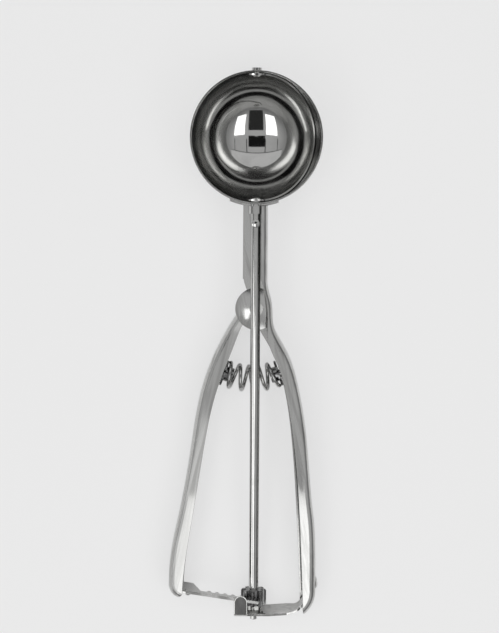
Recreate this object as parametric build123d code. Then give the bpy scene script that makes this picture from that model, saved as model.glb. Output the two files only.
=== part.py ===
from build123d import *
import os
from math import acos, asin, atan, cos, degrees, radians, sin, sqrt, tan

os.makedirs("parts", exist_ok=True)

# Lever ice cream scoop, in millimetres.
# The scoop is drawn flat: X across, Y along the rod toward the bowl, Z out of the bowl's mouth,
# with the bowl's centre at the origin. It is then tipped to lie on its bowl and its handle ends.

# Bowl and scraper
BOWL_R = 28.0
BOWL_WALL = 0.8
RIM_Z = 2.6
RIM_ROUND = 0.2
SCRAPER_GAP = 0.3
SCRAPER_SHEET = 0.7
SCRAPER_WIDTH = 7.0
SCRAPER_EYE_R = 4.2
SCRAPER_REST = 29.0
SADDLE_SHEET = 1.0
SADDLE_R = 10.5

# Rod, its ends and its fits
ROD_R = 2.05
SPIGOT_R = 1.5
RUN_FIT = 0.05
END_PLAY = 0.1
BODY_GAP = 0.3
ROD_END_Y = -207.8
PEEN_R = 2.3
PEEN_HEIGHT = 1.0
HEAD_R = 2.1
HEAD_SHEET = 1.0
CROSS_PIN_Y = -36.2
CROSS_PIN_R = 1.0
BUSH_LENGTH = 4.0

# Sheet metal of the two handles
SHEET = 0.9
FRONT_ROUND = 2.5
BACK_ROUND = 2.2
NECK_LEFT = -5.4
NECK_RIGHT = 5.0
LIP_X = 2.3
PLATE_Z = -3.9
LIP_Z = 3.4
EAR_Z = -13.0
GRIP_Z = 7.1
NECK_END_Y = -60.0
NECK_OVERLAP = 2.0
LIP_BEND_Y = -48.0
ARM_BEND_Y = -84.0
EAR_TOP_Y = -66.0
BACK_BELOW_Z = -6.0

# Pivot of the two handles
PIVOT_X = 0.5
PIVOT_Y = -72.8
PIVOT_R = 2.0
DISC_R = 9.1
DISC_DOME = 0.6
REAR_EAR_R = 6.5
MOVING_EAR_R = 5.4
WASHER_R = 4.4
WASHER_SHEET = 0.6
RIVET_HEAD_R = 3.6
RIVET_HEAD_HEIGHT = 1.7

# Return spring
SPRING_X0 = -12.1
SPRING_X1 = 9.0
SPRING_Y = -101.6
SPRING_CLEAR = 0.45
SPRING_BOW = 1.9
SPRING_WIRE = 1.6
SPRING_OD = 12.0
SPRING_TURNS = 4.5
SEAT_LIP = 0.4
SEAT_SHEET = 0.8
PEG_R = 1.7
PEG_RISE = 1.2
PEG_MOVING = 5.3
PEG_FIXED = 4.8
NOSE_R = 3.2
NOSE_LENGTH = 2.5

# Rack and pinion
TEETH = 8
HANDLE_TRAVEL = 5.25
DRIVE_TRAVEL = 150.0
RACK_TILT = -8.5
RACK_Y = -197.7
RACK_SHEET = 1.2
RACK_FRONT_Z = 9.0
RACK_LEFT_TEETH = 6
RACK_HEAD_X0 = -34.9
RACK_HEAD_X1 = -26.7
RACK_STRIP_X = -29.4
RACK_HEAD_Z = 5.3
RACK_SLOPE_X = -23.0
RACK_RIVET_X = -28.3
RACK_RIVET_Z = 3.3
RACK_RIVET_R = 1.4
TOOTH_ANGLE = 22.0
TOOTH_SHARE = 0.51
BACKLASH = 0.36
RACK_ADDENDUM = 0.7
ROOT_GAP = 0.22
MESH_SHIFT = -0.45
PINION_TOP = -194.1
PINION_BOTTOM = -201.0
PINION_CHAMFER = 0.5

# Bracket under the pinion
BRACKET_TOP = -202.95
BRACKET_SHEET = 1.0
BRACKET_LEFT = -8.4
BRACKET_Z = 8.3
BRACKET_BACK_Z = -6.9
BRACKET_FOOT_Z = 4.8
TAB_RIGHT = -2.7
TAB_TOP = -194.7
TAB_BEND = 1.6
TAB_EDGE = 0.35
BRACKET_RIVET_Y = -191.0
BRACKET_RIVET_Z = 3.0
BRACKET_RIVET_R = 1.2
BRACKET_RIVET_X = (24.3, 26.55)
FOOT_BEND_X = 19.0
FOOT_BEND_RISE = 0.9
FOOT_BEND_R = 5.0
FOOT_TOP = [(25.0, -194.3), (24.8, -186.5)]

# Outlines of the handles: outer edge from the neck down, then the curled tip, then the inner edge
FIXED_OUTER = [(5.0, -60.0), (7.0, -70.5), (7.8, -80.0), (13.4, -91.2), (18.6, -106.2),
               (22.0, -126.0), (24.5, -153.7), (26.5, -193.9)]
FIXED_TIP = (21.8, -203.8)
FIXED_REAR = [(20.3, -201.6), (20.0, -193.9), (18.0, -153.3), (15.7, -126.0), (12.3, -106.2),
              (5.6, -89.0), (2.2, -83.2), (0.5, -78.0)]
FIXED_FRONT = [(21.4, -206.0), (20.9, -193.9), (19.4, -160.0), (17.2, -133.0), (14.1, -112.1),
               (9.8, -96.5), (5.5, -86.1), (5.3, -76.0), (4.6, -68.0), (LIP_X, NECK_END_Y)]
MOVING_OUTER = [(-3.9, -69.7), (-8.5, -76.4), (-14.6, -86.7), (-22.6, -106.5), (-27.9, -136.2),
                (-32.8, -163.2), (-36.5, -191.2)]
MOVING_TIP = (-32.3, -196.9)
MOVING_INNER = [(-30.7, -195.3), (-30.4, -190.3), (-26.6, -163.2), (-22.3, -136.2),
                (-15.8, -106.4), (-8.3, -86.7), (-4.9, -79.0), (-1.0, -75.0)]

# Derived sizes
NECK_TOP = NECK_OVERLAP - BOWL_R
SPRING_Z = -(ROD_R + SPRING_OD / 2 + SPRING_CLEAR)
SEAT_R = SPRING_OD / 2 - SEAT_LIP
BOWL_IN = BOWL_R - BOWL_WALL
SCRAPER_OUT = BOWL_IN - SCRAPER_GAP
SCRAPER_IN = SCRAPER_OUT - SCRAPER_SHEET
ROD_TOP = sqrt(SCRAPER_OUT ** 2 - SPIGOT_R ** 2)
PEEN_FOOT = sqrt(SCRAPER_IN ** 2 - PEEN_R ** 2)
MOVING_FRONT_Z = PLATE_Z - BODY_GAP
MOVING_BACK_Z = EAR_Z + SHEET + BODY_GAP
REST_TILT = degrees(asin((BOWL_R - GRIP_Z) / -FIXED_TIP[1]))
MOVING_GRIP_Z = GRIP_Z - (FIXED_TIP[1] - MOVING_TIP[1]) * tan(radians(REST_TILT))
PIVOT = (PIVOT_X, PIVOT_Y)
RATIO = DRIVE_TRAVEL / HANDLE_TRAVEL
START = radians(RACK_TILT)
END = radians(RACK_TILT + HANDLE_TRAVEL)
LEVER = -PIVOT_X * sin(START) + (PIVOT_Y - RACK_Y) * cos(START)
STROKE = LEVER * (tan(END) - tan(START)) + PIVOT_X * (1 / cos(END) - 1 / cos(START))
RACK_PITCH = STROKE / (DRIVE_TRAVEL * TEETH / 360)
PITCH_R = STROKE * cos((START + END) / 2) / radians(DRIVE_TRAVEL)
MODULE = 2 * PITCH_R / TEETH
BASE_R = PITCH_R * cos(radians(TOOTH_ANGLE))
ROOT_R = PITCH_R - RACK_ADDENDUM - ROOT_GAP
PINION_R = PITCH_R + MODULE
PINION_TOOTH = RACK_PITCH * TOOTH_SHARE
RACK_TOOTH = RACK_PITCH - PINION_TOOTH - BACKLASH
FAR = 60.0
BEYOND = 300.0
GENTLE_BEND = 10.0
TAIL = 6.0


# Helpers ------------------------------------------------------------------------------------

def along_y(radius, low, high, x=0.0, z=0.0):
    """A round bar along Y between two heights."""
    disc = Plane.XZ * Circle(radius)
    return Pos(x, high, z) * extrude(disc, high - low)


def along_z(radius, low, high, x, y):
    """A round bar along Z between two depths."""
    return Pos(x, y, low) * extrude(Circle(radius), high - low)


def along_x(radius, low, high, y, z):
    """A round bar along X between two stations."""
    return Pos(low, y, z) * extrude(Plane.YZ * Circle(radius), high - low)


def block(x0, x1, y0, y1, z0, z1):
    """A box between six limits."""
    return Pos((x0 + x1) / 2, (y0 + y1) / 2, (z0 + z1) / 2) * Box(x1 - x0, y1 - y0, z1 - z0)


def deep(plan):
    """A plan drawn on XY, carried far to the front and to the back."""
    return Pos(0, 0, -FAR) * extrude(plan, 2 * FAR)


def dome(radius, height):
    """A round head with its flat foot on XY and its crown at +Z."""
    ball_r = (radius ** 2 + height ** 2) / (2 * height)
    ball = Pos(0, 0, height - ball_r) * Sphere(ball_r)
    return ball & block(-radius, radius, -radius, radius, 0, height)


def shell(outer, inner):
    """A hollow ball about the bowl's centre."""
    return Sphere(outer) - Sphere(inner)


def side_line(points):
    """A side line through (y, z) points: gentle bends are eased, steps stay sharp."""
    if len(points) == 2:
        return Line(*points)
    radii = []
    for before, at, after in zip(points, points[1:], points[2:]):
        turn = (Vector(*at) - Vector(*before)).get_angle(Vector(*after) - Vector(*at))
        radii.append(FAR if turn < GENTLE_BEND else 0)
    return FilletPolyline(*points, radius=radii)


def side_slab(front, back):
    """Everything between a front and a back line of (y, z) points, as seen from the side."""
    near, far = side_line(front), side_line(back)
    rim = [near, Line(near @ 1, far @ 1), far, Line(far @ 0, near @ 0)]
    return Pos(-FAR, 0, 0) * extrude(Plane.YZ * make_face(rim), 2 * FAR)


def moved_in(points, depth):
    """A side line shifted in depth."""
    return [(y, z + depth) for y, z in points]


def outer_curve(points, tip, heading):
    """The outer edge of a handle with its curled end."""
    side = Spline(*points, tangents=[heading, (0, -1)])
    curl = TangentArc(side @ 1, tip, tangent=side % 1)
    return side, curl


def rounded(solid, curve, distance, step_y):
    """Round the long edges of a handle that lie a distance inside its outer curve: the front
    ones broadly, and below a step the back ones more tightly."""
    for is_front, radius in ((True, FRONT_ROUND), (False, BACK_ROUND)):
        chosen = []
        for edge in solid.edges():
            middle = edge @ 0.5
            flat = Vertex(middle.X, middle.Y, 0)
            near = min(part.distance_to(flat) for part in curve)
            level = abs((edge % 0.5).Z) < 0.5
            kept = middle.Z > 0 or middle.Y < step_y
            along = edge.length > 1.0 and abs(near - distance) < 0.05
            if level and kept and along and (middle.Z > BACK_BELOW_Z) == is_front:
                chosen.append(edge)
        solid = fillet(chosen, radius - distance)
    return solid


# Frame: bowl, saddle, fixed handle, bracket -------------------------------------------------

def bowl():
    outer = Sphere(BOWL_R) & block(-FAR, FAR, -FAR, FAR, -FAR, 0)
    outer += Pos(0, 0, RIM_Z / 2) * Cylinder(BOWL_R, RIM_Z)
    inner = Sphere(BOWL_IN) + Pos(0, 0, FAR / 2) * Cylinder(BOWL_IN, FAR)
    cup = outer - inner
    rim = cup.edges().filter_by(GeomType.CIRCLE).group_by(Axis.Z)[-1]
    cup = fillet(rim, RIM_ROUND)
    cup -= along_y(ROD_R + RUN_FIT, -FAR, 0)
    return cup - along_y(SPIGOT_R + RUN_FIT, 0, FAR)


def bowl_saddle():
    wrap = shell(BOWL_R + SADDLE_SHEET, BOWL_R) & along_y(SADDLE_R, -FAR, 0, -0.8, -3.0)
    wrap &= block(-FAR, FAR, -FAR, 0, -FAR, 0)
    return wrap - along_y(ROD_R + RUN_FIT, -FAR, 0)


def neck_bush():
    bush = along_y(-PLATE_Z - SHEET, -BOWL_R - BUSH_LENGTH, -BOWL_R)
    bush -= Sphere(BOWL_R + SADDLE_SHEET)
    return bush - along_y(ROD_R + RUN_FIT, -FAR, 0)


def fixed_region(straight, side, curl):
    """Plan of the fixed handle: neck, rear ear and arm."""
    inner = Spline(*FIXED_REAR)
    neck = Polyline(FIXED_REAR[-1], (NECK_LEFT, NECK_END_Y), (NECK_LEFT, NECK_TOP),
                    (NECK_RIGHT, NECK_TOP))
    rim = [straight, side, curl, Line(curl @ 1, inner @ 0), inner, neck]
    return make_face(rim) + Pos(*PIVOT) * Circle(REAR_EAR_R)


def inset(curve, distance, hand, count):
    """Points along a curve, moved to its inner side; hand is +1 for the right-hand arm."""
    points = []
    for step in range(count + 1):
        spot = curve @ (step / count)
        heading = curve % (step / count)
        points.append((spot.X + hand * heading.Y * distance, spot.Y - hand * heading.X * distance))
    return points


def handle_room(side, curl, hand, distance):
    """Plan of everything inside a handle's outer curve, less a sheet's thickness."""
    ends = [tuple(side % 0)[:2], tuple(side % 1)[:2]]
    wall = Spline(*inset(side, distance, hand, 16), tangents=ends)
    end = ThreePointArc(*inset(curl, distance, hand, 2))
    tail = Line(end @ 1, end @ 1 + (end % 1) * TAIL)
    start, tip = wall @ 0, tail @ 1
    away = -hand * FAR
    path = Polyline((tip.X, tip.Y), (away, tip.Y), (away, 0), (start.X, 0), (start.X, start.Y))
    return make_face([wall, end, tail, path])


def channel(plan, room, curve, front, back, room_back, step_y):
    """A pressed channel: a body with rounded edges less the room inside it."""
    body = deep(plan) & side_slab(front, back)
    body = rounded(body, curve, 0, step_y)
    hollow = deep(room) & side_slab(moved_in(front, -SHEET), room_back)
    hollow = rounded(hollow, curve, SHEET, step_y)
    return body - hollow


def pivot_disc(inside):
    """The domed front ear and the plate that narrows from the neck to it."""
    top = (DISC_R ** 2 + DISC_DOME ** 2) / (2 * DISC_DOME)
    cap = Pos(0, 0, DISC_DOME - top) * (Sphere(top) - Sphere(top - SHEET))
    cap &= along_z(DISC_R, -SHEET - DISC_DOME, DISC_DOME, 0, 0)
    cap = Pos(PIVOT_X, PIVOT_Y, PLATE_Z + SHEET) * cap
    start, low = NECK_END_Y + 3, NECK_END_Y - 5
    left_start, left_end = (NECK_LEFT, start), (NECK_LEFT + 1.8, low)
    waist = Polyline((NECK_RIGHT, start), left_start)
    left = ThreePointArc(left_start, (NECK_LEFT + 0.6, NECK_END_Y - 1.5), left_end)
    base = Polyline(left_end, (NECK_RIGHT + 1, low), (NECK_RIGHT, start))
    plate = extrude(make_face([waist, left, base]), SHEET)
    ear = cap + Pos(0, 0, PLATE_Z) * plate
    return ear & inside


def fixed_handle():
    side, curl = outer_curve(FIXED_OUTER, FIXED_TIP, (0, -1))
    straight = Line((NECK_RIGHT, NECK_TOP), (NECK_RIGHT, NECK_END_Y))
    low = FIXED_TIP[1] - 2
    inner_z = PLATE_Z + SHEET
    handle = channel(
        fixed_region(straight, side, curl), handle_room(side, curl, 1, SHEET),
        [straight, side, curl],
        [(NECK_TOP, LIP_Z), (LIP_BEND_Y, LIP_Z), (low, GRIP_Z)],
        [(NECK_TOP, PLATE_Z), (NECK_END_Y + 1, PLATE_Z), (EAR_TOP_Y, EAR_Z),
         (ARM_BEND_Y, EAR_Z), (low, -GRIP_Z)],
        [(NECK_TOP, inner_z), (NECK_END_Y, inner_z), (NECK_END_Y, EAR_Z + SHEET),
         (ARM_BEND_Y, EAR_Z + SHEET), (low, SHEET - GRIP_Z)], EAR_TOP_Y)
    window = Spline(*FIXED_FRONT)
    edge = Polyline(FIXED_FRONT[-1], (LIP_X, 0), (-FAR, 0), (-FAR, FIXED_FRONT[0][1]), FIXED_FRONT[0])
    handle -= extrude(make_face([window, edge]), FAR)
    handle += pivot_disc(deep(handle_room(side, curl, 1, SHEET / 2)))
    handle -= Sphere(BOWL_R + SADDLE_SHEET)
    handle -= along_z(PIVOT_R, -FAR, FAR, *PIVOT)
    return handle - countersink() - bracket_holes()


def countersink():
    crown = PLATE_Z + SHEET + DISC_DOME
    cone = Cone(PIVOT_R, PIVOT_R + SHEET, SHEET)
    return Pos(PIVOT_X, PIVOT_Y, crown - SHEET / 2) * cone


def pivot_rivet():
    crown = PLATE_Z + SHEET + DISC_DOME
    pin = along_z(PIVOT_R, EAR_Z - WASHER_SHEET, crown - SHEET / 2, *PIVOT) + countersink()
    head = Rot(180, 0, 0) * dome(RIVET_HEAD_R, RIVET_HEAD_HEIGHT)
    return pin + Pos(PIVOT_X, PIVOT_Y, EAR_Z - WASHER_SHEET) * head


def pivot_washer():
    ring = along_z(WASHER_R, EAR_Z - WASHER_SHEET, EAR_Z, *PIVOT)
    return ring - along_z(PIVOT_R, -FAR, FAR, *PIVOT)


def bracket_holes():
    """The two rivet holes through the fixed arm and the foot of the bracket."""
    holes = [along_x(BRACKET_RIVET_R, FOOT_BEND_X, FAR, BRACKET_RIVET_Y, z)
             for z in (-BRACKET_RIVET_Z, BRACKET_RIVET_Z)]
    return holes[0] + holes[1]


def rack_bracket():
    """The sheet that carries the rod's end: sole, riveted foot and upright tab."""
    middle = BRACKET_TOP - BRACKET_SHEET / 2
    path = FilletPolyline((BRACKET_LEFT, middle), (FOOT_BEND_X / 3, middle),
                          (FOOT_BEND_X, middle + FOOT_BEND_RISE), *FOOT_TOP, radius=FOOT_BEND_R)
    strip = deep(trace(path, BRACKET_SHEET))
    shoulder = FOOT_BEND_X + 1
    plan = FilletPolyline((BRACKET_LEFT, BRACKET_BACK_Z), (shoulder - 5, BRACKET_BACK_Z),
                          (shoulder, -BRACKET_FOOT_Z), (FAR, -BRACKET_FOOT_Z),
                          (FAR, BRACKET_FOOT_Z), (shoulder, BRACKET_FOOT_Z),
                          (shoulder - 5.5, BRACKET_Z), (BRACKET_LEFT, BRACKET_Z),
                          radius=1.5, close=True)
    sole = strip & Rot(90, 0, 0) * extrude(make_face(plan), BEYOND)
    return sole + bracket_tab() - along_y(SPIGOT_R + RUN_FIT, -BEYOND, 0) - bracket_holes()


def bracket_tab():
    back = RACK_FRONT_Z + BODY_GAP + 0.1
    low = BRACKET_TOP - BRACKET_SHEET
    bend = FilletPolyline((low + BRACKET_SHEET / 2, BRACKET_Z - 3),
                          (low + BRACKET_SHEET / 2, back + BRACKET_SHEET / 2),
                          (TAB_TOP, back + BRACKET_SHEET / 2), radius=TAB_BEND)
    width = TAB_RIGHT - BRACKET_LEFT
    tab = extrude(Plane.YZ * trace(bend, BRACKET_SHEET), width)
    tab = Pos(BRACKET_LEFT, 0, 0) * tab
    crown = along_z(width / 2, 0, FAR, BRACKET_LEFT + width / 2, TAB_TOP - width / 2)
    below = block(BRACKET_LEFT, TAB_RIGHT, low - 1, TAB_TOP - width / 2, 0, FAR)
    tab &= crown + below
    return fillet(tab.faces().sort_by(Axis.Z)[-1].edges(), TAB_EDGE)


def bracket_rivets():
    """Two rivets with a domed head outside the fixed arm and a small head inside."""
    inside, outside = BRACKET_RIVET_X
    rivets = []
    for z in (-BRACKET_RIVET_Z, BRACKET_RIVET_Z):
        pin = along_x(BRACKET_RIVET_R, inside, outside, BRACKET_RIVET_Y, z)
        head = Rot(0, 90, 0) * dome(BRACKET_RIVET_R + 0.8, 0.9)
        tail = Rot(0, -90, 0) * dome(BRACKET_RIVET_R + 0.7, 0.8)
        rivets.append(pin + Pos(outside, BRACKET_RIVET_Y, z) * head
                      + Pos(inside, BRACKET_RIVET_Y, z) * tail)
    return rivets


# Return spring ------------------------------------------------------------------------------

def spring():
    """A coil along a bowed middle line, from the moving handle to the fixed handle."""
    steps = int(SPRING_TURNS * 8)
    span = SPRING_X1 - SPRING_X0
    radius = (SPRING_OD - SPRING_WIRE) / 2
    points = []
    for step in range(steps + 1):
        part = step / steps
        lean = atan(-4 * SPRING_BOW / span * (1 - 2 * part))
        out = radius * cos(radians(45 * step))
        points.append((SPRING_X0 + span * part - out * sin(lean),
                       SPRING_Y - SPRING_BOW * 4 * part * (1 - part) + out * cos(lean),
                       SPRING_Z + radius * sin(radians(45 * step))))
    path = Spline(*points)
    wire = Plane(origin=path @ 0, z_dir=path % 0) * Circle(SPRING_WIRE / 2)
    return sweep(wire, path=path)


def seat(x_end, hand, peg_length):
    """A spring seat square to the spring's end: a peg to the web, a flange and a nose."""
    coil = SPRING_WIRE / 2
    back = -coil - SEAT_SHEET
    shape = along_x(PEG_R, back - peg_length, back, 0, PEG_RISE)
    shape += along_x(SEAT_R, back, -coil, 0, 0) + along_x(NOSE_R, -coil, NOSE_LENGTH, 0, 0)
    lean = degrees(atan(4 * SPRING_BOW / (SPRING_X1 - SPRING_X0)))
    if hand > 0:
        shape = mirror(shape, Plane.YZ)
    return Pos(x_end, SPRING_Y, SPRING_Z) * Rot(0, 0, hand * lean) * shape


# Moving handle ------------------------------------------------------------------------------

def moving_region(side, curl):
    inner = Spline(*MOVING_INNER)
    rim = [side, curl, Line(curl @ 1, inner @ 0), inner, Line(inner @ 1, side @ 0)]
    return make_face(rim) + Pos(*PIVOT) * Circle(MOVING_EAR_R)


def moving_handle():
    side, curl = outer_curve(MOVING_OUTER, MOVING_TIP, (-0.55, -0.83))
    low = MOVING_TIP[1] - 2
    room = handle_room(side, curl, -1, SHEET)
    front = [(0, MOVING_FRONT_Z), (ARM_BEND_Y, MOVING_FRONT_Z), (low, GRIP_Z)]
    back = [(0, MOVING_BACK_Z), (ARM_BEND_Y, MOVING_BACK_Z), (low, -MOVING_GRIP_Z)]
    handle = channel(moving_region(side, curl), room, [side, curl],
                     front, back, moved_in(back, SHEET), 0)
    clear = deep(handle_room(side, curl, -1, SHEET / 2))
    clear &= side_slab(moved_in(front, -SHEET / 2), moved_in(back, SHEET / 2))
    handle += rack_shelf() & rounded(clear, [side, curl], SHEET / 2, 0)
    return handle - along_z(PIVOT_R + RUN_FIT, -FAR, FAR, *PIVOT) - rack_holes()


def rack_plane():
    """The rack's middle plane: X along the rack, Y toward the front, Z down through its sheet."""
    return Plane(origin=(0, RACK_Y, 0), x_dir=(cos(START), sin(START), 0),
                 z_dir=(sin(START), -cos(START), 0))


def rack_shelf():
    """The shelf inside the moving handle, directly under the rack's head."""
    left = RACK_HEAD_X0 - 5
    right = RACK_HEAD_X1 - 0.6
    sheet = block(left, right, -FAR, FAR, RACK_SHEET / 2, RACK_SHEET / 2 + SHEET)
    return rack_plane() * sheet


def rack_holes():
    pins = [along_z(RACK_RIVET_R * 0.65, -5, 5, RACK_RIVET_X, z)
            for z in (-RACK_RIVET_Z, RACK_RIVET_Z)]
    return rack_plane() * (pins[0] + pins[1])


def rack_rivets():
    """Two rivets, flush in the rack's head and domed under the shelf."""
    rivets = []
    foot = RACK_SHEET / 2 + SHEET
    for z in (-RACK_RIVET_Z, RACK_RIVET_Z):
        pin = along_z(RACK_RIVET_R * 0.65, -RACK_SHEET / 2, foot, RACK_RIVET_X, z)
        head = Pos(RACK_RIVET_X, z, foot) * dome(RACK_RIVET_R, RACK_RIVET_R)
        rivets.append(rack_plane() * (pin + head))
    return rivets


def rack():
    """The toothed strip that the moving handle carries across in front of the pinion."""
    root = PITCH_R + MODULE + ROOT_GAP
    slope = tan(radians(TOOTH_ANGLE))
    foot = RACK_TOOTH / 2 + (root - PITCH_R) * slope
    tip = RACK_TOOTH / 2 - RACK_ADDENDUM * slope
    points = [(RACK_STRIP_X, RACK_FRONT_Z), (RACK_STRIP_X, RACK_HEAD_Z),
              (RACK_HEAD_X0, RACK_HEAD_Z), (RACK_HEAD_X0, -RACK_HEAD_Z),
              (RACK_HEAD_X1, -RACK_HEAD_Z), (RACK_SLOPE_X, root)]
    for number in range(-RACK_LEFT_TEETH, 1):
        middle = MESH_SHIFT / cos(START) + (number + 0.5) * RACK_PITCH
        points += [(middle - foot, root), (middle - tip, PITCH_R - RACK_ADDENDUM),
                   (middle + tip, PITCH_R - RACK_ADDENDUM), (middle + foot, root)]
    points += [(points[-1][0], RACK_FRONT_Z)]
    face = make_face(Polyline(*points, close=True))
    tips = [v for v in face.vertices() if abs(v.Y - PITCH_R + RACK_ADDENDUM) < 0.01]
    face = fillet(tips, tip * 0.8)
    corners = [v for v in face.vertices() if v.Y > RACK_FRONT_Z - 0.01]
    face = fillet(corners, 0.6)
    sheet = Pos(0, 0, -RACK_SHEET / 2) * extrude(face, RACK_SHEET)
    return rack_plane() * sheet - rack_holes()


# Drive: rod, pinion, scraper ----------------------------------------------------------------

def rod():
    bar = along_y(ROD_R, PINION_BOTTOM, -ROD_TOP)
    bar += along_y(SPIGOT_R, ROD_END_Y + PEEN_HEIGHT * 0.6, -PEEN_FOOT)
    bar += Pos(0, ROD_END_Y + PEEN_HEIGHT * 0.6, 0) * Rot(90, 0, 0) * dome(SPIGOT_R, PEEN_HEIGHT * 0.6)
    bar += Pos(0, -PEEN_FOOT, 0) * Rot(-90, 0, 0) * dome(PEEN_R, PEEN_HEIGHT)
    return bar - along_z(CROSS_PIN_R, -FAR, FAR, 0, CROSS_PIN_Y)


def coupling_pin():
    head = along_z(CROSS_PIN_R * 1.75, 0, ROD_R, 0, CROSS_PIN_Y)
    head += Pos(0, CROSS_PIN_Y, ROD_R) * dome(CROSS_PIN_R * 1.75, 0.45)
    head -= along_y(ROD_R, CROSS_PIN_Y - 5, CROSS_PIN_Y + 5)
    return head + along_z(CROSS_PIN_R, -ROD_R, ROD_R, 0, CROSS_PIN_Y)


def involute(angle):
    return tan(angle) - angle


def pinion_tooth():
    """One tooth on the X axis: straight below the base circle, involute above it."""
    half = PINION_TOOTH / 2 / PITCH_R + involute(radians(TOOTH_ANGLE))
    flank = [(ROOT_R * 0.9 * cos(half), ROOT_R * 0.9 * sin(half))]
    rise = []
    for step in range(5):
        radius = BASE_R + (PINION_R - BASE_R) * step / 4
        angle = half - involute(acos(BASE_R / radius))
        rise.append((radius * cos(angle), radius * sin(angle)))
    upper = [Line(flank[0], rise[0]), Spline(*rise)]
    lower = [mirror(edge, Plane.XZ) for edge in upper]
    crest = Line(rise[-1], (rise[-1][0], -rise[-1][1]))
    foot = Line(flank[0], (flank[0][0], -flank[0][1]))
    return make_face(upper + [crest] + lower + [foot])


def pinion():
    profile = Circle(ROOT_R)
    first = 90 - degrees(MESH_SHIFT / PITCH_R)
    for number in range(TEETH):
        profile += Rot(0, 0, first + 360 / TEETH * number) * pinion_tooth()
    length = PINION_TOP - PINION_BOTTOM
    gear = Pos(0, PINION_TOP, 0) * extrude(Plane.XZ * profile, length)
    blank = chamfer(Cylinder(PINION_R, length).edges(), PINION_CHAMFER)
    gear &= Pos(0, (PINION_TOP + PINION_BOTTOM) / 2, 0) * Rot(90, 0, 0) * blank
    return gear - along_y(ROD_R, PINION_BOTTOM, PINION_TOP)


def pinion_spacer():
    ring = along_y(ROOT_R, BRACKET_TOP + END_PLAY, PINION_BOTTOM)
    return ring - along_y(SPIGOT_R, -BEYOND, 0)


def rod_washer():
    top = BRACKET_TOP - BRACKET_SHEET - END_PLAY
    ring = along_y(SPIGOT_R * 1.9, top - WASHER_SHEET * 1.3, top)
    return ring - along_y(SPIGOT_R, -BEYOND, 0)


def scraper():
    """A half hoop that follows the bowl's inside, with an eye at each end."""
    band = Rot(0, SCRAPER_REST, 0) * block(0, FAR, -FAR, FAR, -SCRAPER_WIDTH / 2, SCRAPER_WIDTH / 2)
    eyes = along_y(SCRAPER_EYE_R, -FAR, FAR)
    blade = shell(SCRAPER_OUT, SCRAPER_IN) & (band + eyes)
    return blade - along_y(SPIGOT_R, -FAR, FAR)


def scraper_pin():
    """The pin opposite the rod: headed outside the bowl and riveted into the scraper's eye."""
    face = sqrt(BOWL_R ** 2 - SPIGOT_R ** 2) + END_PLAY
    pin = along_y(SPIGOT_R, PEEN_FOOT, face)
    pin += along_y(HEAD_R, face, face + HEAD_SHEET)
    return pin + Pos(0, PEEN_FOOT, 0) * Rot(90, 0, 0) * dome(PEEN_R, PEEN_HEIGHT)


# Everything in place ------------------------------------------------------------------------

NODES = {
    "bowl": bowl(),
    "bowl_saddle": bowl_saddle(),
    "neck_bush": neck_bush(),
    "fixed_handle": fixed_handle(),
    "pivot_rivet": pivot_rivet(),
    "pivot_washer": pivot_washer(),
    "rack_bracket": rack_bracket(),
    "bracket_rivets": bracket_rivets(),
    "spring": spring(),
    "spring_seat_fixed": seat(SPRING_X1, 1, PEG_FIXED),
    "spring_seat_moving": seat(SPRING_X0, -1, PEG_MOVING),
    "moving_handle": moving_handle(),
    "rack": rack(),
    "rack_rivets": rack_rivets(),
    "rod": rod(),
    "coupling_pin": coupling_pin(),
    "pinion": pinion(),
    "pinion_spacer": pinion_spacer(),
    "rod_washer": rod_washer(),
    "scraper": scraper(),
    "scraper_pin": scraper_pin(),
}


def lay_down(nodes):
    """Tip every node to its resting attitude, centred over the origin with its lowest point at 0."""
    tipped = {}
    for name, shape in nodes.items():
        pieces = shape if isinstance(shape, list) else [shape]
        solids = [solid for piece in pieces for solid in piece.solids()]
        tipped[name] = [Rot(REST_TILT, 0, 0) * solid for solid in solids]
    box = Compound(children=[copy for solids in tipped.values() for copy in solids]).bounding_box()
    middle = box.center()
    home = Pos(-middle.X, -middle.Y, -box.min.Z)
    placed = {name: Compound(children=[home * solid for solid in solids])
              for name, solids in tipped.items()}
    return placed, home


PLACED, HOME = lay_down(NODES)

for node, shape in PLACED.items():
    export_step(shape, f"parts/{node}.step")
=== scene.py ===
from math import atan, cos, pi, radians, sin
import bpy
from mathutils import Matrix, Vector


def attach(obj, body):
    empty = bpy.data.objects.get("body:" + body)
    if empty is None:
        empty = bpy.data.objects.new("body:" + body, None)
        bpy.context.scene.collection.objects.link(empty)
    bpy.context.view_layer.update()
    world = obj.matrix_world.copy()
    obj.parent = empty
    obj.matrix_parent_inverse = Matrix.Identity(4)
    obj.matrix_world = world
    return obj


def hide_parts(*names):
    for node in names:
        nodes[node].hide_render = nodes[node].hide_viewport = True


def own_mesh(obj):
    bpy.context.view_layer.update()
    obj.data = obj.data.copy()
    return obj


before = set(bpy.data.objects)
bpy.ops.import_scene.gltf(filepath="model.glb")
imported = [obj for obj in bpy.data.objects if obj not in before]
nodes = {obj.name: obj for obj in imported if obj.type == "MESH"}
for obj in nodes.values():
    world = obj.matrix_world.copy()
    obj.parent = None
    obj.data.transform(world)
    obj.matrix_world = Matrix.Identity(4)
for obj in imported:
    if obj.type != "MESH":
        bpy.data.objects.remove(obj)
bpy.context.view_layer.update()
scene = bpy.context.scene

# Lengths are in metres and turns in degrees, unless a comment says otherwise.

# Where the scoop lies: the centre of the bowl's half-sphere, and how far the tool leans
BOWL = Vector((0.00425, 0.088797, 0.028))
BOWL_DEPTH = 0.028
TILT = radians(5.8861)

# Camera over the table, with its lens in millimetres
EYE = Vector((0.00177, 0.0134, 0.745))
EYE_TURN = 0.35
LENS = 96.9
NEAREST, FARTHEST = 0.01, 20.0

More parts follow.
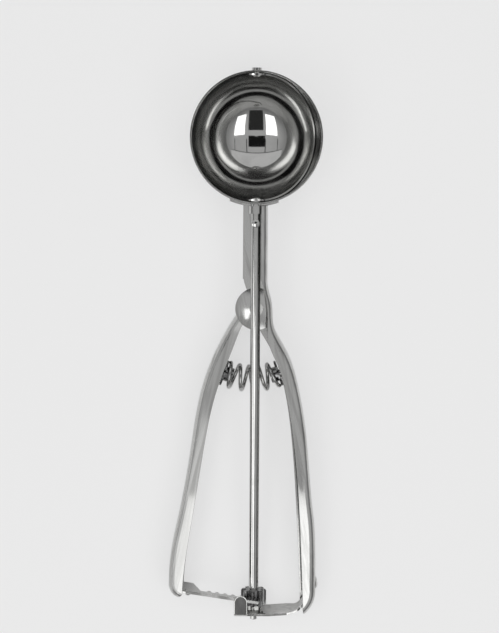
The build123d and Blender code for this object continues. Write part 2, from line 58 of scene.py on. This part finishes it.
# Return spring: a coil along a bowed line, in the scoop's own frame. Its ends are narrower
# by END_CUT over END_DEPTH.
SPRING_LEFT = -0.0121
SPRING_RIGHT = 0.009
SPRING_Y = -0.1016
SPRING_Z = -0.0085
SPRING_BOW = 0.0019
SPRING_TURNS = 4.5
STEPS_PER_TURN = 56
COIL_R = 0.0052
WIRE_R = 0.0008
WIRE_SIDES = 16
END_DEPTH = 0.00004
END_CUT = 0.00012

# Steel tones, as clean and as soiled metal
BRIGHT, BRIGHT_SOILED = (0.62, 0.62, 0.61), (0.55, 0.55, 0.54)
PRESSED, PRESSED_SOILED = (0.65, 0.65, 0.64), (0.49, 0.49, 0.48)
CUT_SOILED = (0.5, 0.5, 0.49)
# Dark tone: painted shade on the spring seats, a painted dark reflection on the pinion
DARK_PAINTED_SHADE, DARK_PAINTED_SHADE_SOILED = (0.30, 0.30, 0.30), (0.2, 0.2, 0.2)
WIRE, WIRE_SOILED = (0.66, 0.66, 0.65), (0.5, 0.5, 0.5)

# Noise in the steel, and the ranges of the smears that turn into tone and roughness
SMEARS = {"Scale": 75.0, "Detail": 4.0, "Roughness": 0.55, "Distortion": 0.8}
SCRATCHES = {"Scale": 2600.0, "Detail": 2.0, "Roughness": 0.6}
WAVES = {"Detail": 1.0, "Roughness": 0.3}
SMEARS_TO_TONE = (0.35, 0.55)
SMEARS_TO_ROUGHNESS = (0.35, 0.7)

# Worn edges: cosine of the bevel's lean from nothing to fully worn, and the roughness added
EDGE_LEAN = (1.0, 0.8)
EDGE_WEAR = 0.12
BEVEL_SAMPLES = 4

# The bowl's polish gets duller between these two distances from its bottom
DULL_FROM_TO = (0.020, 0.034)
DULLER = 0.16

# Colour sockets of a Mix node: two inputs and the output
MIX_A, MIX_B, MIX_OUT = 6, 7, 2

# Table and room. A tone is a grey from 0 to 1.
PAPER = 0.86
PAPER_ROUGHNESS = 0.9
PAPER_SPECULAR = 0.1
PAPER_GLOW = 0.7
FLOOR_HALF = 4
ROOM_TONES = ((0.0, 0.45), (0.2, 0.2), (0.5, 0.22), (0.75, 0.46), (1.0, 0.5))

# Heights: lamps near the table, the main lamps, broad lamps behind them, cards, the fill
LOW = 0.42
LOW_BEHIND = LOW + 0.01
HIGH = 1.5
BEHIND = HIGH + 0.01
CARDS = HIGH + 0.02
ABOVE = 2.2

# The wall that the bowl reflects: dark joints between its panels, from the left
SEAMS = (-1.24, -0.46, 0.46, 1.24)
SEAM_WIDTH = 0.045
SEAM_TONE = 0.04


def place(x, y, z):
    """A point of the scoop's own frame, X across and Y to the bowl, as it lies there."""
    return BOWL + Vector((x, y * cos(TILT) - z * sin(TILT), y * sin(TILT) + z * cos(TILT)))


def grey(value):
    """An opaque colour of one tone."""
    return value, value, value, 1


def flat_object(name, corners):
    """A flat four-cornered mesh in the scene."""
    mesh = bpy.data.meshes.new(name)
    mesh.from_pydata(corners, [], [(0, 1, 2, 3)])
    obj = bpy.data.objects.new(name, mesh)
    scene.collection.objects.link(obj)
    return obj


# Materials -----------------------------------------------------------------------------

def new_nodes(tree):
    """A short way to add a node with its settings and its input values."""
    def add(kind, inputs=None, **settings):
        node = tree.nodes.new("ShaderNode" + kind)
        for key, value in settings.items():
            setattr(node, key, value)
        for key, value in (inputs or {}).items():
            node.inputs[key].default_value = value
        return node
    return add


def ramp(add, low, high, from_value=0.0, to_value=1.0):
    """Maps a grey from one range to another."""
    return add("MapRange", {"From Min": low, "From Max": high,
                            "To Min": from_value, "To Max": to_value})


def steel(name, clean, soiled, polish, wave, grain, stretch=(1, 1, 1), streak=(1, 1, 1),
          slant=0.0, edge=0.0, pole=None):
    """Polished steel with hand smears. clean and soiled are its tones and polish its lowest
    and highest roughness. wave is the height and length of the pressed surface's waves and
    grain the height of the polishing scratches. stretch draws out the scratches; streak and
    slant do so with the smears. With an edge, sharp edges look rounded by that radius and
    are worn duller. With a pole, the polish gets duller away from that point."""
    wave_height, wave_length = wave
    material = bpy.data.materials.new(name)
    material.use_nodes = True
    tree = material.node_tree
    tree.nodes.clear()
    add, link = new_nodes(tree), tree.links.new
    out = add("OutputMaterial")
    shader = add("BsdfPrincipled", {"Metallic": 1.0})
    spot = add("TexCoord")
    smear = add("TexNoise", SMEARS)
    spread = add("Mapping", {"Scale": stretch})
    scratch = add("TexNoise", SCRATCHES)
    swell = add("TexNoise", {"Scale": 1.0 / wave_length, **WAVES})
    drag = add("Mapping", {"Scale": streak, "Rotation": (0, 0, radians(slant))},
               vector_type="TEXTURE")
    link(spot.outputs["Object"], drag.inputs["Vector"])
    link(drag.outputs["Vector"], smear.inputs["Vector"])
    link(spot.outputs["Object"], swell.inputs["Vector"])
    link(spot.outputs["Object"], spread.inputs["Vector"])
    link(spread.outputs["Vector"], scratch.inputs["Vector"])

    tone = add("Mix", data_type="RGBA")
    tone.inputs[MIX_A].default_value = (*soiled, 1)
    tone.inputs[MIX_B].default_value = (*clean, 1)
    share = ramp(add, *SMEARS_TO_TONE)
    link(smear.outputs["Fac"], share.inputs["Value"])
    link(share.outputs["Result"], tone.inputs["Factor"])
    link(tone.outputs[MIX_OUT], shader.inputs["Base Color"])

    smooth = ramp(add, *SMEARS_TO_ROUGHNESS, *polish)
    link(smear.outputs["Fac"], smooth.inputs["Value"])
    rough = smooth.outputs["Result"]

    def add_to_rough(extra):
        total = add("Math", operation="ADD")
        link(rough, total.inputs[0])
        link(extra.outputs["Result"], total.inputs[1])
        return total.outputs["Value"]

    heave = add("Bump", {"Strength": 1.0, "Distance": wave_height})
    fine = add("Bump", {"Strength": 1.0, "Distance": grain})
    link(swell.outputs["Fac"], heave.inputs["Height"])
    link(scratch.outputs["Fac"], fine.inputs["Height"])
    link(heave.outputs["Normal"], fine.inputs["Normal"])
    link(fine.outputs["Normal"], shader.inputs["Normal"])
    if edge:
        bend = add("Bevel", {"Radius": edge}, samples=BEVEL_SAMPLES)
        link(bend.outputs["Normal"], heave.inputs["Normal"])
        flat = add("NewGeometry")
        match = add("VectorMath", operation="DOT_PRODUCT")
        link(flat.outputs["Normal"], match.inputs[0])
        link(bend.outputs["Normal"], match.inputs[1])
        wear = ramp(add, *EDGE_LEAN, 0.0, EDGE_WEAR)
        link(match.outputs["Value"], wear.inputs["Value"])
        rough = add_to_rough(wear)
    if pole:
        reach = add("VectorMath", {1: pole}, operation="DISTANCE")
        link(spot.outputs["Object"], reach.inputs[0])
        duller = ramp(add, *DULL_FROM_TO, 0.0, DULLER)
        link(reach.outputs["Value"], duller.inputs["Value"])
        rough = add_to_rough(duller)
    link(rough, shader.inputs["Roughness"])
    link(shader.outputs["BSDF"], out.inputs["Surface"])
    return material


def pressed_sheet(side="", slant=0.0):
    """The handles' sheet, with smears that run along an arm with this slant."""
    return steel("pressed_mirror" + side, PRESSED, PRESSED_SOILED, (0.06, 0.14),
                 (1.2e-5, 0.011), 1.5e-7, stretch=(1, 0.08, 1), streak=(0.25, 4.0, 0.25),
                 slant=slant, edge=0.00025)


bowl_steel = steel("bowl_mirror", BRIGHT, BRIGHT_SOILED, (0.03, 0.09), (1.5e-6, 0.012),
                   2e-8, pole=tuple(place(0, 0, -BOWL_DEPTH)))
sheet_steel = pressed_sheet()
left_steel = pressed_sheet("_left", -12.5)
right_steel = pressed_sheet("_right", 11.0)
bar_steel = steel("drawn_bar", BRIGHT, BRIGHT_SOILED, (0.05, 0.12), (2e-6, 0.02), 2e-7,
                  stretch=(1, 0.03, 1))
rivet_steel = steel("rivet_steel", BRIGHT, BRIGHT_SOILED, (0.08, 0.2), (4e-6, 0.003), 3e-7,
                    edge=0.0002)
cut_steel = steel("cut_strip", BRIGHT, CUT_SOILED, (0.12, 0.25), (6e-6, 0.008), 4e-7,
                  edge=0.0002)
# Dark steel whose tone is painted shade (spring seats) and painted reflection (pinion)
painted_shade_gear_steel = steel("dark_gear_painted_shade", DARK_PAINTED_SHADE, DARK_PAINTED_SHADE_SOILED, (0.08, 0.18), (4e-6, 0.004), 3e-7,
                   edge=0.0002)
wire_steel = steel("spring_wire", WIRE, WIRE_SOILED, (0.07, 0.16), (4e-6, 0.004), 2e-7)

FINISH = {
    bowl_steel: ["bowl", "scraper"],
    sheet_steel: ["bowl_saddle", "rack_bracket"],
    left_steel: ["moving_handle"],
    right_steel: ["fixed_handle"],
    bar_steel: ["rod", "neck_bush"],
    rivet_steel: ["pivot_rivet", "pivot_washer", "bracket_rivets", "rack_rivets",
                  "coupling_pin", "scraper_pin"],
    cut_steel: ["rack", "rod_washer", "pinion_spacer"],
    # The pinion and the spring seats get the dark steel with painted shade and reflection
    painted_shade_gear_steel: ["pinion", "spring_seat_fixed", "spring_seat_moving"],
}
for finish, names in FINISH.items():
    for name in names:
        mesh = nodes[name].data
        mesh.materials.clear()
        mesh.materials.append(finish)


# Return spring -------------------------------------------------------------------------

def wire_ring(at, across, up, radius):
    """The points of one cross-section of the wire."""
    turns = (2 * pi * side / WIRE_SIDES for side in range(WIRE_SIDES))
    return [at + (across * cos(turn) + up * sin(turn)) * radius for turn in turns]


def spring():
    """Round wire in open turns along a bowed line, with both ends cut square and eased."""
    span = SPRING_RIGHT - SPRING_LEFT
    steps, sides = int(SPRING_TURNS * STEPS_PER_TURN), WIRE_SIDES
    line = []
    for step in range(steps + 1):
        part = step / steps
        turn = 2 * pi * SPRING_TURNS * part
        lean = atan(-4 * SPRING_BOW / span * (1 - 2 * part))
        out = COIL_R * cos(turn)
        line.append(place(SPRING_LEFT + span * part - out * sin(lean),
                          SPRING_Y - SPRING_BOW * 4 * part * (1 - part) + out * cos(lean),
                          SPRING_Z + COIL_R * sin(turn)))
    rings = []
    for step, at in enumerate(line):
        ahead = (line[min(step + 1, steps)] - line[max(step - 1, 0)]).normalized()
        across = ahead.cross(Vector((1, 0, 0))).normalized()
        up = across.cross(ahead)
        if step == 0:
            rings.append(wire_ring(at, across, up, WIRE_R - END_CUT))
            rings.append(wire_ring(at + ahead * END_DEPTH, across, up, WIRE_R))
        elif step == steps:
            rings.append(wire_ring(at - ahead * END_DEPTH, across, up, WIRE_R))
            rings.append(wire_ring(at, across, up, WIRE_R - END_CUT))
        else:
            rings.append(wire_ring(at, across, up, WIRE_R))
    points = [point for ring in rings for point in ring]
    faces = []
    for row in range(len(rings) - 1):
        for side in range(sides):
            near, next_side = row * sides, (side + 1) % sides
            faces.append((near + side, near + next_side,
                          near + sides + next_side, near + sides + side))
    faces.append(tuple(range(sides))[::-1])
    faces.append(tuple(range(len(points) - sides, len(points))))
    mesh = bpy.data.meshes.new("spring_coil")
    mesh.from_pydata(points, [], faces)
    mesh.polygons.foreach_set("use_smooth", [len(face) == 4 for face in faces])
    mesh.materials.append(wire_steel)
    mesh.update()
    obj = bpy.data.objects.new("spring_coil", mesh)
    scene.collection.objects.link(obj)
    return obj


coil = spring()
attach(coil, "frame")
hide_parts("spring")
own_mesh(coil)


# Room, lamps and camera ----------------------------------------------------------------

def card(name, x0, x1, y0, y1, z, tone, far=1.0):
    """A flat card over the table that only polished metal sees, far times as wide at y0."""
    obj = flat_object(name, [(x0 * far, y0, z), (x0, y1, z),
                             (x1, y1, z), (x1 * far, y0, z)])
    material = bpy.data.materials.new(name)
    material.use_nodes = True
    material.node_tree.nodes.clear()
    add, link = new_nodes(material.node_tree), material.node_tree.links.new
    glow = add("Emission", {"Color": grey(tone), "Strength": 1.0})
    link(glow.outputs["Emission"], add("OutputMaterial").inputs["Surface"])
    obj.data.materials.append(material)
    obj.visible_camera = False
    obj.visible_diffuse = False
    obj.visible_shadow = False


def lamp(name, x0, x1, y0, y1, z, radiance, objects=None, glossy=True, turn=0.0):
    """A rectangular soft lamp that faces the table, for everything or for some objects.
    It can be seen through, so its radiance is added to that of what lies behind it."""
    data = bpy.data.lights.new(name, "AREA")
    data.shape = "RECTANGLE"
    data.size, data.size_y = x1 - x0, y1 - y0
    data.energy = radiance * pi * data.size * data.size_y
    obj = bpy.data.objects.new(name, data)
    obj.location = ((x0 + x1) / 2, (y0 + y1) / 2, z)
    obj.rotation_euler = (0, 0, radians(turn))
    obj.visible_glossy = glossy
    obj.visible_camera = False
    scene.collection.objects.link(obj)
    if objects:
        group = bpy.data.collections.new(name + "_objects")
        for lit in objects:
            group.objects.link(lit)
        obj.light_linking.receiver_collection = group


floor = flat_object("floor", [(-FLOOR_HALF, -FLOOR_HALF, 0), (FLOOR_HALF, -FLOOR_HALF, 0),
                              (FLOOR_HALF, FLOOR_HALF, 0), (-FLOOR_HALF, FLOOR_HALF, 0)])
paper = bpy.data.materials.new("paper")
paper.use_nodes = True
add, link = new_nodes(paper.node_tree), paper.node_tree.links.new
matt = paper.node_tree.nodes["Principled BSDF"]
matt.inputs["Base Color"].default_value = grey(PAPER)
matt.inputs["Roughness"].default_value = PAPER_ROUGHNESS
matt.inputs["Specular IOR Level"].default_value = PAPER_SPECULAR
seen = add("LightPath")
share = add("Math", {1: PAPER_GLOW}, operation="MULTIPLY")
glow = add("Emission", {"Color": grey(PAPER), "Strength": 1.0})
blend = add("MixShader")
link(seen.outputs["Is Camera Ray"], share.inputs[0])
link(share.outputs[0], blend.inputs[0])
link(matt.outputs[0], blend.inputs[1])
link(glow.outputs[0], blend.inputs[2])
link(blend.outputs[0], paper.node_tree.nodes["Material Output"].inputs["Surface"])
floor.data.materials.append(paper)

in_bowl = [nodes[name] for name in ("bowl", "scraper", "scraper_pin", "bowl_saddle")]
on_rod = [nodes[name] for name in ("rod", "coupling_pin", "neck_bush")]
right_arm = [nodes["fixed_handle"]]
left_arm = [nodes["moving_handle"]]
bracket = [nodes["rack_bracket"]]
small = [node for node in nodes.values()
         if node not in in_bowl + on_rod + right_arm + left_arm + bracket]
small.append(coil)

# Lamps: x from and to, y from and to, height, radiance and what they light
lamp("window_left", -1.25, -0.53, -1.65, -0.184, HIGH, 1.9, in_bowl + [floor], turn=-4)
lamp("window_right", 0.65, 1.36, -1.65, -0.184, HIGH, 1.9, in_bowl + [floor], turn=4)
lamp("left_grip", -0.0577, -0.004, -0.32, -0.113, LOW, 0.85, left_arm, turn=-10)
lamp("left_side", -0.5, 0.0, -0.4, -0.06, LOW_BEHIND, 0.28, left_arm)
lamp("right_grip", 0.01, 0.07, -0.36, -0.17, LOW, 1.15, right_arm)
lamp("left_wall", -14.0, -2.2, -6.0, 6.0, HIGH, 0.5, left_arm)
lamp("disc_spot", -0.225, -0.15, -0.50, -0.29, HIGH, 1.9, right_arm)
lamp("handle_tone", -0.6, 0.45, -2.0, -0.43, BEHIND, 0.36, small + right_arm + left_arm)
lamp("small_window", 0.05, 0.5, -1.6, -0.24, HIGH, 1.5, small)
lamp("tab_left", -8.0, -0.3, -4.0, 4.0, HIGH, 1.3, bracket)
lamp("tab_right", 0.4, 8.0, -4.0, 4.0, HIGH, 1.3, bracket)
lamp("tab_top", -0.3, 0.4, 0.3, 5.0, HIGH, 1.3, bracket)
lamp("bracket_tone", -0.3, 0.4, -2.0, -0.43, BEHIND, 0.15, bracket)
lamp("strip_tone", 0.003, 0.04, -0.17, -0.115, 0.1, 0.2, bracket)
lamp("rod_edge", -3.2, -1.5, -1.9, -0.31, HIGH, 1.9, on_rod)
lamp("rod_middle", -1.5, -0.7, -1.9, -0.31, HIGH, 0.35, on_rod)
lamp("rod_line", -0.7, 0.05, -1.9, -0.31, HIGH, 1.5, on_rod)
lamp("blade_edge", -2.4, -0.9, -0.8, 1.2, HIGH, 2.2, [nodes["scraper"]])
lamp("fill", -1.2, 1.2, -1.2, 1.2, ABOVE, 1.0, glossy=False)

# Cards: x from and to, y from and to, height and tone
card("dark_board", -0.35, 0.41, -2.2, -0.43, CARDS, 0.03, far=1.37)
card("camera_card", -0.113, 0.108, 0.0254, 0.1715, LOW, 0.01)
card("back_wall", -1.7, 1.7, 0.73, 2.6, CARDS, 0.62)
card("wall_line", -1.7, 1.7, 0.695, 0.74, CARDS, SEAM_TONE)
for seam in SEAMS:
    card(f"seam_{seam}", seam, seam + SEAM_WIDTH, 0.0, 0.695, CARDS, SEAM_TONE)

# Reflections see the room's tones by height; the camera sees the paper's tone
world = bpy.data.worlds.new("room")
world.use_nodes = True
world.node_tree.nodes.clear()
add, link = new_nodes(world.node_tree), world.node_tree.links.new
path = add("LightPath")
aim = add("TexCoord")
split = add("SeparateXYZ")
tone = add("ValToRGB")
stops = tone.color_ramp.elements
for _ in ROOM_TONES[1:-1]:
    stops.new(0.5)
for stop, (height, value) in zip(stops, ROOM_TONES):
    stop.position = height
    stop.color = grey(value)
room = add("Background", {"Strength": 1.0})
pale = add("Background", {"Color": grey(PAPER), "Strength": 1.0})
choose = add("MixShader")
link(aim.outputs["Generated"], split.inputs[0])
link(split.outputs["Z"], tone.inputs[0])
link(tone.outputs[0], room.inputs["Color"])
link(path.outputs["Is Camera Ray"], choose.inputs[0])
link(room.outputs[0], choose.inputs[1])
link(pale.outputs[0], choose.inputs[2])
link(choose.outputs[0], add("OutputWorld").inputs["Surface"])
scene.world = world

camera = bpy.data.cameras.new("camera")
camera.lens = LENS
camera.clip_start, camera.clip_end = NEAREST, FARTHEST
eye = bpy.data.objects.new("camera", camera)
eye.location = EYE
eye.rotation_euler = (0, 0, radians(EYE_TURN))
scene.collection.objects.link(eye)
scene.camera = eye
scene.view_settings.view_transform = "Standard"
